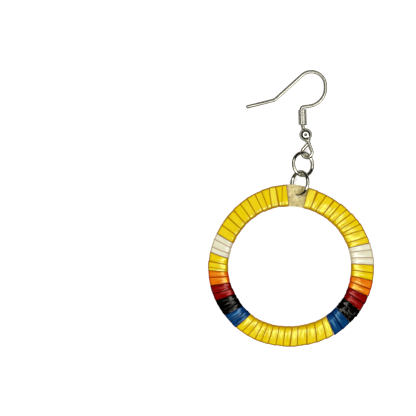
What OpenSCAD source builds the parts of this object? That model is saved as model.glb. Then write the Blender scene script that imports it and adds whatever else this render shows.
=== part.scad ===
// Quill hoop earring, laid flat: a rawhide ring wound with dyed quills on a wire ear hook.
// Millimetres. +Z is up from the table, +Y runs from the hoop towards the hook.

/* [Hoop] */
// Thickness of the rawhide ring
core_thickness = 0.8; // [0.6:0.05:0.9]
// Wall of a wound quill, two flattened layers
quill_wall = 0.42; // [0.3:0.02:0.5]
// Space between the rawhide and the quills
quill_gap = 0.08; // [0.06:0.01:0.1]
// Depth of the groove between two turns of a quill
seam_depth = 0.08; // [0.04:0.01:0.12]
// Space between two bands of different colour
band_gap = 0.06; // [0.04:0.01:0.1]
// Slope of the hoop, whose tab rests on the lower jump ring
hoop_slope = 2.4; // [1.5:0.1:3]

/* [Tab] */
// Where the bare tab ends on its right, in degrees round the hoop
tab_right = 77; // [74:0.5:80]
// Where the bare tab ends on its left
tab_left = 92.9; // [90:0.1:96]
// Across the hole for the jump ring
hole_across = 2.2; // [2.1:0.05:2.4]
// Sideways place of the hole
hole_x = 2; // [1.9:0.05:2.1]
// Place of the hole above the hoop's centre
hole_y = 18.8; // [18.75:0.05:18.85]

/* [Jump rings] */
// Thickness of a jump ring's wire
ring_wire = 0.8; // [0.7:0.02:0.8]
// Radius of a jump ring at the middle of its wire
ring_radius = 3; // [2.95:0.01:3]
// Width of the slit where a jump ring closes, in degrees
ring_slit = 3; // [1:0.5:5]

/* [Ear hook] */
// Thickness of the hook's wire
hook_wire = 0.7; // [0.6:0.02:0.7]
// Radius of the top of the arch
arch_radius = 3.7; // [3.5:0.05:3.8]
// Radius of the lower part of the arch
return_radius = 4.8; // [4.6:0.05:4.9]
// Radius of the end loop at the middle of its wire
loop_radius = 1.4; // [1.35:0.01:1.45]
// How far the end loop is twisted out of the hook's plane
loop_roll = 21.7; // [20:0.1:24]

/* [Coil and bead] */
// Turns of the fine wire coil
coil_turns = 14; // [12:1:15]
// Thickness of the coil's wire
coil_wire = 0.3; // [0.28:0.01:0.32]
// Outside of the coil
coil_across = 2; // [1.9:0.02:2.04]
// Across the bead
bead_across = 3; // [2.9:0.05:3.1]
// Across the bead's bore
bead_bore = 1; // [0.9:0.05:1.1]

/* [Hidden] */

// Middle of the whole earring's box, from the hoop's centre
rest_middle = [0.17, 15.26];
round_steps = 48;

// Hand-shaped outline of the hoop: angle, outer radius, inner radius
outline_step = 30;
hoop_outline = [
    [0, 21.95, 15.95],
    [30, 21.6, 15.85],
    [60, 21.05, 15.7],
    [90, 21.35, 15.7],
    [120, 21.35, 15.95],
    [150, 21.2, 16.15],
    [180, 21.6, 16.4],
    [210, 21.55, 16.15],
    [240, 21.3, 16.1],
    [270, 20.95, 15.65],
    [300, 21.35, 15.9],
    [330, 21.75, 16.05]
];
OUTER = 1;
INNER = 2;

// Bands of quill: start angle, end angle, turns, slant of the first seam, slant of the last seam
quill_bands = [
    [tab_left, 155.5, 11, -1.5, 2],
    [155.5, 169.4, 3, 2, 3],
    [169.4, 182.3, 3, 3, 2.2],
    [182.3, 193.2, 2, 2.2, 1.4],
    [193.2, 204.3, 2, 1.4, 1.9],
    [204.3, 216.4, 3, 1.9, 2.9],
    [216.4, 227.9, 2, 2.9, 2.1],
    [227.9, 302.7, 13, 2.1, 3],
    [302.7, 317, 2, 3, 1.6],
    [317, 327.4, 2, 1.6, 2.5],
    [327.4, 339.2, 2, 2.5, 1.5],
    [339.2, 350.4, 2, 1.5, 1.2],
    [350.4, 361.2, 2, 1.2, 1.7],
    [361.2, 376.8, 3, 1.7, 1.1],
    [376.8, 360 + tab_right, 11, 1.1, 0.9]
];

// Rings of points along one turn: share of the turn, share of the seam's depth
turn_steps = [
    [0, 1],
    [0.2, 0],
    [0.8, 0]
];
corner_angles = [0, 45, 90];
corner_points = 4 * len(corner_angles);
quill_corner = 0.55;
core_step = 3;
shoulder_from = 0.6;
shoulder_to = 0.3;

hoop_height = core_thickness + 2 * (quill_gap + quill_wall);
hoop_edge = -radius_at(270, OUTER);
core_inset = quill_wall + quill_gap;

// The hook as bent, seen from above in its own plane: x, y, bend radius
hook_path = [
    [-11.6, 41.85, 0],
    [-4.1, 43.75, 2.5],
    [9.23, 55.9, arch_radius],
    [9.23, 42.74, return_radius],
    [3.11, 41.75, 0.9],
    [3.27, 36.6, 2]
];
shank_heading = -69.5;
shank_length = 6.76;
shank_start = [3.27, 36.6];
loop_sweep = 239;
loop_leg = 1.5;
shank_end = shank_start + shank_length * along(shank_heading);
tip_length = 0.25;
tip_radius = 0.22;
bend_wire = hook_wire - 0.01;
bend_step = 10;
tail_overlap = 0.3;

// The bead and the top of the arch both touch the table
bead_along_shank = 2.137;
bead_centre = shank_start + bead_along_shank * along(shank_heading);
arch_top = 51.2;
hook_slope = asin((bead_across - hook_wire) / 2 / (arch_top - bead_centre.y));

coil_pitch = coil_wire - 0.004;
coil_top = 41.25;
coil_x = 3.125;
coil_heading = -88.2;
coil_middle_radius = (coil_across - coil_wire) / 2;
coil_rib_angles = [-66, -22, 22, 66];

// Jump rings: centre x, y, z, lean of the long axis, tilt of the right side, rise of the far side, slit
upper_ring_place = [3.3, 26.84, 2.06, 3.4, -32.3, -9.2, 118];
lower_ring_place = [2.46, 21.89, 2.63, 7, 47.8, 0, 110];

function along(heading) = [cos(heading), sin(heading)];

function outline_row(k) = hoop_outline[(k + len(hoop_outline)) % len(hoop_outline)];

// Smooth curve through the rows of the outline
function radius_at(angle, column) =
    let (
        place = (angle % 360) / outline_step,
        k = floor(place),
        f = place - k,
        before = outline_row(k - 1)[column],
        from = outline_row(k)[column],
        to = outline_row(k + 1)[column],
        after = outline_row(k + 2)[column]
    )
    from + f / 2 * (to - before + f * (2 * before - 5 * from + 4 * to - after
        + f * (3 * (from - to) + after - before)));

// Rounded oblong round the band's section, from its outer edge up over the top
function oblong(width, height, corner) = [
    for (quarter = [0:3])
        for (t = corner_angles)
            let (
                side = quarter == 0 || quarter == 3 ? 1 : -1,
                up = quarter < 2 ? 1 : -1,
                angle = 90 * quarter + t
            )
            [side * (width / 2 - corner) + corner * cos(angle),
                up * (height / 2 - corner) + corner * sin(angle)]
];

// One ring of points round the band, whose inner end is turned on by the slant
function band_ring(angle, slant, inset, height, corner) =
    let (
        outer = radius_at(angle, OUTER),
        inner = radius_at(angle, INNER),
        width = outer - inner - 2 * inset,
        middle = (outer + inner) / 2
    )
    [
        for (p = oblong(width, height, corner))
            let (
                share = 0.5 - p.x / width,
                turned = angle + slant * share,
                reach = middle + p.x
            )
            [reach * cos(turned), reach * sin(turned), hoop_height / 2 + p.y]
    ];

function quad(a, b, c, d) = [[a, b, c], [a, c, d]];

// Faces of a tube from ring to ring, pointing outwards
function tube_faces(first, rings) = [
    for (i = [0:rings - 2])
        for (k = [0:corner_points - 1])
            let (
                here = first + i * corner_points,
                next = here + corner_points,
                k2 = (k + 1) % corner_points
            )
            each quad(here + k, here + k2, next + k2, next + k)
];

function reversed(faces) = [for (f = faces) [f[2], f[1], f[0]]];

// Faces that join an outer ring to an inner ring at one end
function end_faces(outer, inner) = [
    for (k = [0:corner_points - 1])
        let (k2 = (k + 1) % corner_points)
        each quad(outer + k, inner + k, inner + k2, outer + k2)
];

// A hollow band of quill turns with a groove at each seam
module quill_band(row) {
    gap_angle = band_gap / 2 / radius_at(row[0], OUTER) * 180 / PI;
    first = row[0] + gap_angle;
    span = row[1] - gap_angle - first;
    turns = row[2];
    function angle_of(t) = first + span * t / turns;
    function slant_of(t) = row[3] + (row[4] - row[3]) * t / turns;
    places = [
        for (turn = [0:turns - 1])
            for (step = turn_steps)
                [turn + step[0], step[1] * seam_depth],
        [turns, seam_depth]
    ];
    outer_rings = [
        for (p = places)
            each band_ring(angle_of(p[0]), slant_of(p[0]), p[1], hoop_height - 2 * p[1], quill_corner)
    ];
    inner_rings = [
        for (t = [0:turns])
            each band_ring(angle_of(t), slant_of(t), quill_wall, hoop_height - 2 * quill_wall,
                quill_corner - quill_wall)
    ];
    inner_first = len(outer_rings);
    outer_last = inner_first - corner_points;
    inner_last = inner_first + len(inner_rings) - corner_points;
    polyhedron(
        points = concat(outer_rings, inner_rings),
        faces = concat(
            tube_faces(0, len(places)),
            reversed(tube_faces(inner_first, turns + 1)),
            end_faces(0, inner_first),
            reversed(end_faces(outer_last, inner_last))
        )
    );
}

function core_edge(from, to, column, inset) =
    let (steps = ceil((to - from) / core_step))
    [
        for (i = [0:steps])
            let (angle = from + (to - from) * i / steps)
            (radius_at(angle, column) + inset) * along(angle)
    ];

// One edge of the rawhide: full width at the bare tab, narrower under the quills
function core_outline(right, left, column, inset) = concat(
    core_edge(right + shoulder_from, left - shoulder_from, column, 0),
    core_edge(left - shoulder_to, 360 + right + shoulder_to, column, inset)
);

// Flat ring of rawhide, as wide as the quills where it is bare
module core_shape() {
    inner_right = tab_right + quill_bands[len(quill_bands) - 1][4];
    inner_left = tab_left + quill_bands[0][3];
    difference() {
        polygon(core_outline(tab_right, tab_left, OUTER, -core_inset));
        polygon(core_outline(inner_right, inner_left, INNER, core_inset));
    }
}

// Lays the hoop down with its far edge on the table and its tab raised
module laid_hoop() {
    translate([-rest_middle.x, hoop_edge - rest_middle.y, 0])
        rotate([hoop_slope, 0, 0])
            translate([0, -hoop_edge, 0])
                children();
}

// Lays the hook down on the bead and on the top of its arch
module laid_hook() {
    translate([-rest_middle.x, bead_centre.y - rest_middle.y, bead_across / 2])
        rotate([-hook_slope, 0, 0])
            translate([0, -bead_centre.y, 0])
                children();
}

function point_of(row) = [row.x, row.y];
function heading_of(p, q) = atan2(q.y - p.y, q.x - p.x);
function turn_of(a, b) = (b - a + 540) % 360 - 180;

// Stations of a bend, each with its place and heading
function bend_stations(from, heading, turn, radius) =
    let (
        side = turn > 0 ? 1 : -1,
        centre = from + side * radius * along(heading + 90),
        steps = ceil(abs(turn) / bend_step)
    )
    [
        for (i = [0:steps])
            let (here = heading + turn * i / steps)
            [centre - side * radius * along(here + 90), here]
    ];

// Stations along the hook from the end of the tail to the shank's end
function hook_stations(path) =
    let (
        last = len(path) - 1,
        headings = [for (i = [0:last - 1]) heading_of(path[i], path[i + 1])]
    )
    [
        for (i = [1:last - 1])
            let (
                turn = turn_of(headings[i - 1], headings[i]),
                cut = path[i][2] * tan(abs(turn) / 2),
                from = point_of(path[i]) - cut * along(headings[i - 1])
            )
            each bend_stations(from, headings[i - 1], turn, path[i][2])
    ];

// A ring of points round the wire at a station in the plane
function wire_ring(station, phase) = [
    for (k = [0:corner_points - 1])
        let (
            angle = 360 * k / corner_points + phase,
            across = bend_wire / 2 * cos(angle)
        )
        concat(station[0] + across * along(station[1] + 90), [bend_wire / 2 * sin(angle)])
];

// A point of the end loop's own plane, turned to the shank and rolled about it
function placed_on_shank(p) =
    let (rolled = [p.x * cos(loop_roll) - p.z * sin(loop_roll), p.y])
    concat(
        shank_end + rolled.x * along(shank_heading + 90) - rolled.y * along(shank_heading),
        [p.x * sin(loop_roll) + p.z * cos(loop_roll)]
    );

// Closed faces of one end of the wire
function disc_faces(first) = [for (k = [1:corner_points - 2]) [first, first + k + 1, first + k]];

// The bent wire from the tail to the end loop, whose open end lies beside the shank
module swept_wire() {
    path = concat(hook_path, [[shank_end.x, shank_end.y, 0]]);
    tail_end = hook_stations(path)[0];
    inside_tail = [[tail_end[0] - tail_overlap * along(tail_end[1]), tail_end[1]]];
    loop_stations = bend_stations([0, 0], -90, -loop_sweep, loop_radius);
    leg_from = loop_stations[len(loop_stations) - 1];
    leg_end = [[leg_from[0] + loop_leg * along(leg_from[1]), leg_from[1]]];
    plane_rings = [
        for (station = concat(inside_tail, hook_stations(path)))
            each wire_ring(station, 0)
    ];
    loop_rings = [
        for (station = concat(loop_stations, leg_end))
            for (p = wire_ring(station, loop_roll))
                placed_on_shank(p)
    ];
    rings = concat(plane_rings, loop_rings);
    last = len(rings) - corner_points;
    polyhedron(
        points = rings,
        faces = concat(
            reversed(disc_faces(0)),
            reversed(tube_faces(0, len(rings) / corner_points)),
            disc_faces(last)
        )
    );
}

// The straight tail with its blunted tip, as one turned piece
module tail_pin() {
    tail_end = hook_stations(hook_path)[0][0];
    tip = point_of(hook_path[0]);
    length = norm(tail_end - tip);
    translate([tail_end.x, tail_end.y, 0])
        rotate([0, 90, heading_of(tail_end, tip)])
            rotate_extrude($fn = round_steps)
                polygon([
                    [0, 0],
                    [hook_wire / 2, 0],
                    [hook_wire / 2, length - tip_length],
                    [tip_radius, length],
                    [0, length]
                ]);
}

module ear_hook() {
    color("silver")
        laid_hook() {
            tail_pin();
            swept_wire();
        }
}

// Outline of the coil's wall, a rib for each turn
function coil_side(side) = [
    for (turn = [0:coil_turns - 1])
        for (a = coil_rib_angles)
            [coil_middle_radius + side * coil_wire / 2 * cos(a),
                (turn + 0.5) * coil_pitch + coil_wire / 2 * sin(a)]
];

module coil_sleeve() {
    inner_side = coil_side(-1);
    last = len(inner_side) - 1;
    color("silver")
        laid_hook()
            translate([coil_x, coil_top, 0])
                rotate([0, 90, coil_heading])
                    rotate_extrude($fn = round_steps)
                        polygon(concat(coil_side(1), [for (i = [last:-1:0]) inner_side[i]]));
}

module bead() {
    color("silver")
        laid_hook()
            translate([bead_centre.x, bead_centre.y, 0])
                rotate([0, 90, shank_heading])
                    difference() {
                        sphere(d = bead_across, $fn = round_steps);
                        cylinder(h = 2 * bead_across, d = bead_bore, center = true, $fn = round_steps);
                    }
}

module jump_ring(place) {
    translate([place[0] - rest_middle.x, place[1] - rest_middle.y, place[2]])
        rotate([0, 0, -place[3]])
            rotate([place[5], 0, 0])
                rotate([0, -place[4], 0])
                    rotate([0, 0, place[6] + ring_slit / 2])
                        rotate_extrude(angle = 360 - ring_slit, $fn = 2 * round_steps)
                            translate([ring_radius, 0])
                                circle(d = ring_wire, $fn = round_steps);
}

module upper_jump_ring() {
    color("silver")
        jump_ring(upper_ring_place);
}

module lower_jump_ring() {
    color("silver")
        jump_ring(lower_ring_place);
}

module hoop_core() {
    color("tan")
        laid_hoop()
            translate([0, 0, core_inset])
                difference() {
                    linear_extrude(height = core_thickness)
                        core_shape();
                    translate([hole_x, hole_y, -core_thickness])
                        cylinder(h = 3 * core_thickness, d = hole_across, $fn = round_steps);
                }
}

module quill_yellow_upper_left() { color("gold") laid_hoop() quill_band(quill_bands[0]); }
module quill_white_left() { color("ivory") laid_hoop() quill_band(quill_bands[1]); }
module quill_yellow_left() { color("gold") laid_hoop() quill_band(quill_bands[2]); }
module quill_orange_left() { color("darkorange") laid_hoop() quill_band(quill_bands[3]); }
module quill_red_left() { color("darkred") laid_hoop() quill_band(quill_bands[4]); }
module quill_black_left() { color("black") laid_hoop() quill_band(quill_bands[5]); }
module quill_blue_left() { color("steelblue") laid_hoop() quill_band(quill_bands[6]); }
module quill_yellow_bottom() { color("gold") laid_hoop() quill_band(quill_bands[7]); }
module quill_blue_right() { color("steelblue") laid_hoop() quill_band(quill_bands[8]); }
module quill_black_right() { color("black") laid_hoop() quill_band(quill_bands[9]); }
module quill_red_right() { color("darkred") laid_hoop() quill_band(quill_bands[10]); }
module quill_orange_right() { color("darkorange") laid_hoop() quill_band(quill_bands[11]); }
module quill_yellow_right() { color("gold") laid_hoop() quill_band(quill_bands[12]); }
module quill_white_right() { color("ivory") laid_hoop() quill_band(quill_bands[13]); }
module quill_yellow_upper_right() { color("gold") laid_hoop() quill_band(quill_bands[14]); }

ear_hook();
coil_sleeve();
bead();
upper_jump_ring();
lower_jump_ring();
hoop_core();
quill_yellow_upper_left();
quill_white_left();
quill_yellow_left();
quill_orange_left();
quill_red_left();
quill_black_left();
quill_blue_left();
quill_yellow_bottom();
quill_blue_right();
quill_black_right();
quill_red_right();
quill_orange_right();
quill_yellow_right();
quill_white_right();
quill_yellow_upper_right();
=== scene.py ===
"""Quill hoop earring, laid flat on a pale table and seen from straight above."""

import random
from math import atan2, ceil, cos, degrees, hypot, pi, radians, sin, tan

import bpy
from bpy.props import BoolProperty, FloatProperty, FloatVectorProperty, IntProperty, PointerProperty
from mathutils import Matrix, Vector, noise


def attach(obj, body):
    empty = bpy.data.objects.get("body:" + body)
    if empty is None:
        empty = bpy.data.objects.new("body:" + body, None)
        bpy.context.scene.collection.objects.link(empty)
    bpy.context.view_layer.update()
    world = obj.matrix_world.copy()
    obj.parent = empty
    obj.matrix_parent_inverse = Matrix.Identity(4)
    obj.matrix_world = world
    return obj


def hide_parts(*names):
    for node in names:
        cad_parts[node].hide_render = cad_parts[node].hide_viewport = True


bl_info = {
    "name": "Quill Hoop Earring",
    "version": (1, 0, 0),
    "blender": (4, 5, 0),
    "location": "3D View > Sidebar > Earring",
    "description": "Makes a hoop earring wound with dyed quill on a wire ear hook",
    "category": "Add Mesh",
}

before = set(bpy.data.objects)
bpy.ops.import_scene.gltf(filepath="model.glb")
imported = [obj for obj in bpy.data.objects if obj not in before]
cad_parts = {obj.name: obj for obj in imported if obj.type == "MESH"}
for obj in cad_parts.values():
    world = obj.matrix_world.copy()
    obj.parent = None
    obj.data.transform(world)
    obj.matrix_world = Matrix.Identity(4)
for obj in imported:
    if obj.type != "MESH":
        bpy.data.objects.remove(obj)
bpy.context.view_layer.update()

# Lengths below are in millimetres, and MM turns them into metres
MM = 0.001
BODY = "root"

# Middle of the earring's box from the hoop's centre, the hoop's slope as it lies, and its thickness
REST_MIDDLE = (0.17, 15.26)
HOOP_SLOPE = radians(2.4)
HOOP_HEIGHT = 1.8

# Outline of the hoop: outer radius and inner radius, a row for each thirty degrees
OUTLINE_STEP = 30
HOOP_OUTLINE = (
    (22.0, 15.95),
    (21.6, 15.85),
    (21.05, 15.7),
    (21.6, 15.85),
    (21.4, 16.02),
    (21.2, 16.05),
    (21.6, 16.4),
    (21.55, 16.15),
    (21.38, 16.1),
    (21.0, 15.65),
    (21.3, 15.9),
    (21.78, 16.05),
)
OUTER, INNER = 0, 1

# Sides of the bare tab, in degrees
TAB_RIGHT = 77
TAB_LEFT = 92.9

# Bands of quill: name, dye, start in degrees, widths of the turns, slant of the first and last seam
BANDS = (
    ("quill_yellow_upper_left", "yellow", TAB_LEFT,
     (2.6, 5, 4.5, 6, 5, 6.5, 6, 6.5, 6.5, 7, 7), -1.5, 2),
    ("quill_white_left", "white", 155.5, (4.4, 5.7, 3.8), 2, 3),
    ("quill_yellow_left", "yellow", 169.4, (6.4, 4.2, 2.3), 3, 2.2),
    ("quill_orange_left", "orange", 182.3, (4.9, 6), 2.2, 1.4),
    ("quill_red_left", "red", 193.2, (6, 5.1), 1.4, 1.9),
    ("quill_black_left", "black", 204.3, (4.2, 4, 3.9), 1.9, 2.9),
    ("quill_blue_left", "blue", 216.4, (5.9, 3, 2.6), 2.9, 2.1),
    ("quill_yellow_bottom", "yellow", 227.9,
     (5.3, 5, 5.7, 4.7, 5, 5.8, 5.2, 4.8, 5.4, 6.9, 7.5, 7.5, 6), 2.1, 3),
    ("quill_blue_right", "blue", 302.7, (7.2, 7.1), 3, 1.6),
    ("quill_black_right", "black", 317, (5.4, 5), 1.6, 2.5),
    ("quill_red_right", "red", 327.4, (6, 5.8), 2.5, 1.5),
    ("quill_orange_right", "orange", 339.2, (5, 6.2), 1.5, 1.2),
    ("quill_yellow_right", "yellow", 350.4, (5.4, 5.4), 1.2, 1.7),
    ("quill_white_right", "white", 361.2, (5.1, 5.6, 4.9), 1.7, 1.1),
    ("quill_yellow_upper_right", "yellow", 376.8,
     (4.7, 5.4, 4.7, 4.4, 5.2, 4.4, 5.8, 5.3, 6.6, 7, 6.7), 1.1, 0.9),
)
BAND_GAP = 0.05

# Most that a seam's slant strays, and the least and most that it stands open at its outer and inner end
SLANT_STRAY = 0.5
SEAM_GAPS = ((0.06, 0.16), (0.05, 0.14))

# Shape of the hoop's face: where its ridge runs, as a share in from the outer edge, how far the
# face falls from there to the inner and the outer edge, and where the painted highlight and its gloss
# lie: the inner end as a share in from the outer edge, and the reach outward. A row for each thirty degrees
FACE_SHAPE = (
    (0.35, 0.5, 0.1, 0.86, 0.6),
    (0.3, 0.6, 0.08, 0.88, 0.65),
    (0.38, 0.55, 0.08, 0.9, 0.6),
    (0.66, 0.4, 0.08, 0.92, 0.2),
    (0.72, 0.45, 0.08, 0.925, 0.12),
    (0.72, 0.45, 0.2, 0.925, 0.12),
    (0.55, 0.35, 0.15, 0.88, 0.5),
    (0.5, 0.4, 0.12, 0.86, 0.6),
    (0.25, 0.6, 0.1, 0.8, 0.55),
    (0.15, 0.7, 0.1, 0.78, 0.55),
    (0.2, 0.62, 0.1, 0.78, 0.55),
    (0.35, 0.5, 0.1, 0.82, 0.6),
)
RIDGE, INNER_FALL, OUTER_FALL, HIGHLIGHT_END, HIGHLIGHT_REACH = range(5)

# Share of the width that the painted highlight rises in at its sharp end, strength of the painted shade
# between it and the inner edge, how the face bends down to its inner edge, and the share of the fall that
# the underside has
HIGHLIGHT_EDGE = 0.05
INNER_SHADE = 0.38
FACE_BEND = 1.5
UNDERSIDE = 0.2

# Turns that are creased: band, turn, share of the full height
CREASED_TURNS = {
    ("quill_yellow_bottom", 2): 0.8,
    ("quill_yellow_bottom", 3): 1,
    ("quill_yellow_bottom", 4): 0.9,
    ("quill_yellow_bottom", 5): 0.5,
    ("quill_yellow_bottom", 8): 0.6,
    ("quill_blue_left", 1): 1,
    ("quill_blue_left", 2): 0.8,
    ("quill_black_left", 1): 1,
    ("quill_black_right", 0): 1,
    ("quill_black_right", 1): 0.8,
    ("quill_orange_right", 1): 0.7,
    ("quill_yellow_upper_right", 3): 0.5,
    ("quill_yellow_upper_right", 4): 0.4,
    ("quill_yellow_upper_right", 1): 0.5,
}

# Slants that depart from a straight run between a band's ends: band, seam, slant
ODD_SLANTS = {
    ("quill_yellow_upper_left", 1): 2.6,
    ("quill_yellow_upper_left", 2): 0,
    ("quill_yellow_upper_left", 3): 2.6,
    ("quill_yellow_bottom", 3): 0.4,
    ("quill_yellow_bottom", 4): 0.2,
    ("quill_yellow_bottom", 5): 0.6,
    ("quill_yellow_bottom", 6): 0.2,
    ("quill_yellow_bottom", 7): 0.8,
    ("quill_yellow_bottom", 10): 4,
    ("quill_yellow_bottom", 11): 4,
    ("quill_yellow_bottom", 12): 4,
    ("quill_yellow_upper_right", 2): 3.4,
    ("quill_yellow_upper_right", 9): 2.6,
}

# Seams that stand open: band, seam, gap at the outer end, gap at the inner end
OPEN_SEAMS = {
    ("quill_yellow_upper_left", 1): (0.08, 0.05),
    ("quill_yellow_upper_left", 2): (0.16, 0.4),
    ("quill_yellow_upper_left", 3): (0.14, 0.2),
    ("quill_yellow_left", 1): (0.3, 0.08),
    ("quill_yellow_bottom", 8): (0.26, 0.22),
    ("quill_yellow_upper_right", 8): (0.26, 0.12),
    ("quill_yellow_upper_right", 10): (0.4, 0.1),
    ("quill_blue_right", 1): (0.26, 0.1),
    ("quill_orange_right", 1): (0.24, 0.12),
}

# Paler turns: band, turn, share of the pale colour
PALE_TURNS = {
    ("quill_yellow_upper_left", 2): 0.3,
    ("quill_yellow_upper_right", 10): 0.3,
    ("quill_yellow_upper_right", 1): 0.15,
    ("quill_yellow_bottom", 8): 0.15,
    ("quill_yellow_bottom", 12): 0.3,
}

# Points round the band's section, and places across one turn of quill
FLAT_STEPS = 10
CORNER_STEPS = 6
SIDE_STEPS = 2
ACROSS_TURN = (0, 0.07, 0.15, 0.26, 0.38, 0.5, 0.62, 0.74, 0.85, 0.93, 1)
TURN_COLUMNS = len(ACROSS_TURN) + 1

# Share of the seam's colour at the places next to a seam, and half width of the painted highlight patch
STAINED = {0: 0.75, 0.07: 0.2, 0.93: 0.2, 1: 0.75}
HIGHLIGHT_WIDTH = 0.7

# Corners of the band's section at its outer and inner edge, its wall, and how far in from each edge
# painted shade darkens the colour
SECTION_CORNERS = (0.4, 0.6)
SHELL = 0.32
OUTER_RIM_SHADE = 0.6
INNER_RIM_SHADE = 1

# How closely the dents and the finer ones follow each other along, out and up
DENT_RUN = (1.4, 0.7, 0.6)
FINE_RUN = (3.5, 1.9, 1.3)

# A crease lies where its noise is near nothing, and a painted highlight, glossy too, runs beside it on the
# upper face
FOLD_WIDTH = 0.25
RIDGE_PLACE = 0.28
RIDGE_WIDTH = 0.12
RIDGE_HIGHLIGHT = 7
RIDGE_ACROSS = (0.12, 0.82)

# How sharply a turn's relief goes over from its face to its edges, and the pattern's runs round it
EDGE_POWER = 7
FACE_POWER = 3
PATTERN_ROUND = 4

# The hook as bent, in its own plane: x, y, bend radius
HOOK_PATH = (
    (-11.6, 41.85, 0),
    (-4.1, 43.75, 2.5),
    (9.23, 55.9, 3.7),
    (9.23, 42.74, 4.8),
    (2.8, 41.85, 0.7),
    (3.27, 36.6, 2),
)

# The hook's shank, and its end loop: radius, roll about the shank, sweep and last straight
SHANK_HEADING = radians(-69.5)
SHANK_LENGTH = 6.6
LOOP_RADIUS = 1.37
LOOP_ROLL = radians(21.7)
LOOP_SWEEP = radians(245)
LOOP_LEG = 1.75

# Length of the tail's tip, and its thickness as a share of the wire's
TIP_LENGTH = 0.25
TIP_SHARE = 0.62

# The bead's place along the shank, the top of the arch, and the wire and bead that the hook lies on
BEAD_ALONG = 2.137
ARCH_TOP = 51.2
LAID_WIRE = 0.7
LAID_BEAD = 3

# The coil in the hook's plane
COIL_TOP = (3.125, 41.25)
COIL_HEADING = radians(-88.2)
COIL_LENGTH = 4.15

# Middle line of a jump ring, and how far its ends stand apart
RING_RADIUS = 3
RING_SLIT = radians(3)

# Jump rings: node, centre, lean of the long axis, tilt of the right side, rise of the far side, slit
JUMP_RINGS = (
    ("upper_jump_ring", (3.3, 26.84, 2.06), 3.4, -32.3, -9.2, 118),
    ("lower_jump_ring", (2.46, 21.89, 2.63), 7, 47.8, 0, 110),
)

# The tab's hole, the rawhide's thickness, how far it stays inside the quills, and how many degrees
# the full width runs on under them
HOLE_PLACE = (2.15, 18.85)
HOLE_SIZE = (1.7, 1.0)
CORE_THICKNESS = 0.8
CORE_INSET = 1.2
TAB_TUCK = 0.8

# The photograph's frame: its width in pixels, the size of one, and its middle from the hoop's centre,
# with the camera's lens and sensor and the height that the pixel's size holds at
PHOTO_WIDTH = 416
PIXEL = 0.2625
PHOTO_MIDDLE = (-21.62, 15.36)
CAMERA_LENS = 400
SENSOR = 36
CAMERA_PLANE = 1.6


def swatch(name, description, default):
    """A colour that a user would change."""
    return FloatVectorProperty(
        name=name, description=description, subtype="COLOR", size=3, min=0, max=1, default=default)


def length(name, description, default):
    """A length in millimetres, kept in metres."""
    return FloatProperty(
        name=name, description=description, subtype="DISTANCE", unit="LENGTH",
        min=0, default=default * MM, precision=5)


def power(name, description, default):
    """The power of each light of one kind."""
    return FloatProperty(name=name, description=description, unit="POWER", min=0, default=default)


class QuillSettings(bpy.types.PropertyGroup):
    """Sizes and dyes of the wound quills."""

    groove: length("Seam Depth", "Depth of the groove between two turns", 0.045)
    crown: length("Crown", "Rise of the middle of each turn", 0.02)
    dent: length("Dents", "Height of the uneven surface", 0.02)
    crease: length("Creases", "Height of the creases", 0.07)
    seed: IntProperty(name="Seed", description="Start of the uneven widths and tilts", default=7)
    yellow: swatch("Yellow", "Yellow dye", (0.81, 0.595, 0.0))
    # Pale yellow colours the paler turns and streaks, and also paints the highlights
    pale_and_highlight_yellow: swatch("Pale Yellow", "Thinly dyed yellow", (1.0, 0.95, 0.11))
    white: swatch("White", "Undyed quill", (0.76, 0.73, 0.53))
    orange: swatch("Orange", "Orange dye", (0.79, 0.165, 0.0))
    red: swatch("Red", "Red dye", (0.22, 0.0, 0.0))
    black: swatch("Black", "Black dye", (0.0, 0.0, 0.0))
    blue: swatch("Blue", "Blue dye", (0.001, 0.042, 0.15))


class MetalSettings(bpy.types.PropertyGroup):
    """Sizes and colour of the metal pieces."""

    hook_wire: length("Hook Wire", "Thickness of the ear hook's wire", 0.95)
    ring_wire: length("Ring Wire", "Thickness of the jump rings' wire", 0.97)
    coil_wire: length("Coil Wire", "Thickness of the coil's wire", 0.29)
    coil_across: length("Coil Across", "Outside of the coil", 2.4)
    coil_turns: IntProperty(name="Coil Turns", description="Turns of the coil", default=14, min=4)
    bead_across: length("Bead Across", "Across the bead", 3.45)
    bead_bore: length("Bead Bore", "Across the bead's bore", 1)
    colour: swatch("Metal", "Colour of the plated metal", (0.58, 0.56, 0.46))
    bright: swatch("Bright Metal", "Colour of the brighter metal of the coil and bead", (0.8, 0.78, 0.68))


class StageSettings(bpy.types.PropertyGroup):
    """The table and the light."""

    floor: swatch("Table", "Colour of the table", (0.93, 0.93, 0.93))
    ring_power: power("Overhead Lights", "Power of each soft light overhead", 0.8)
    glint_power: power("Glint Lights", "Power of each soft light for the coil and bead", 0.45)
    top_power: power("Top Light", "Power of the faint light right above", 0.13)
    wire_power: power("Wire Lights", "Mean power of each soft light for the wires", 0.32)
    side_power: power("Side Light", "Power of the low light for the metal", 0.7)
    near_power: power("Near Lights", "Power of each small light by the camera", 0.08)
    show_floor: BoolProperty(name="Table", description="Lay a table under the earring", default=True)


def on_heading(heading):
    """A step of one along a heading in the plane."""
    return Vector((cos(heading), sin(heading), 0))


def in_plane(row):
    """The place that a row starts with."""
    return Vector(row[:2]).to_3d()


def upright_to(heading):
    """Turns what stands upright to lie along a heading."""
    return Vector((0, 0, 1)).rotation_difference(heading).to_matrix().to_4x4()


def round_hoop(rows, angle, side):
    """A value on a smooth curve through rows that stand thirty degrees apart."""
    place = (angle % 360) / OUTLINE_STEP
    k = int(place)
    f = place - k
    before, start, end, after = (rows[(k + i) % len(rows)][side] for i in (-1, 0, 1, 2))
    return start + f / 2 * (end - before + f * (2 * before - 5 * start + 4 * end - after
                            + f * (3 * (start - end) + after - before)))


def radius_at(angle, side):
    """Radius of the hoop's outline."""
    return round_hoop(HOOP_OUTLINE, angle, side)


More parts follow.
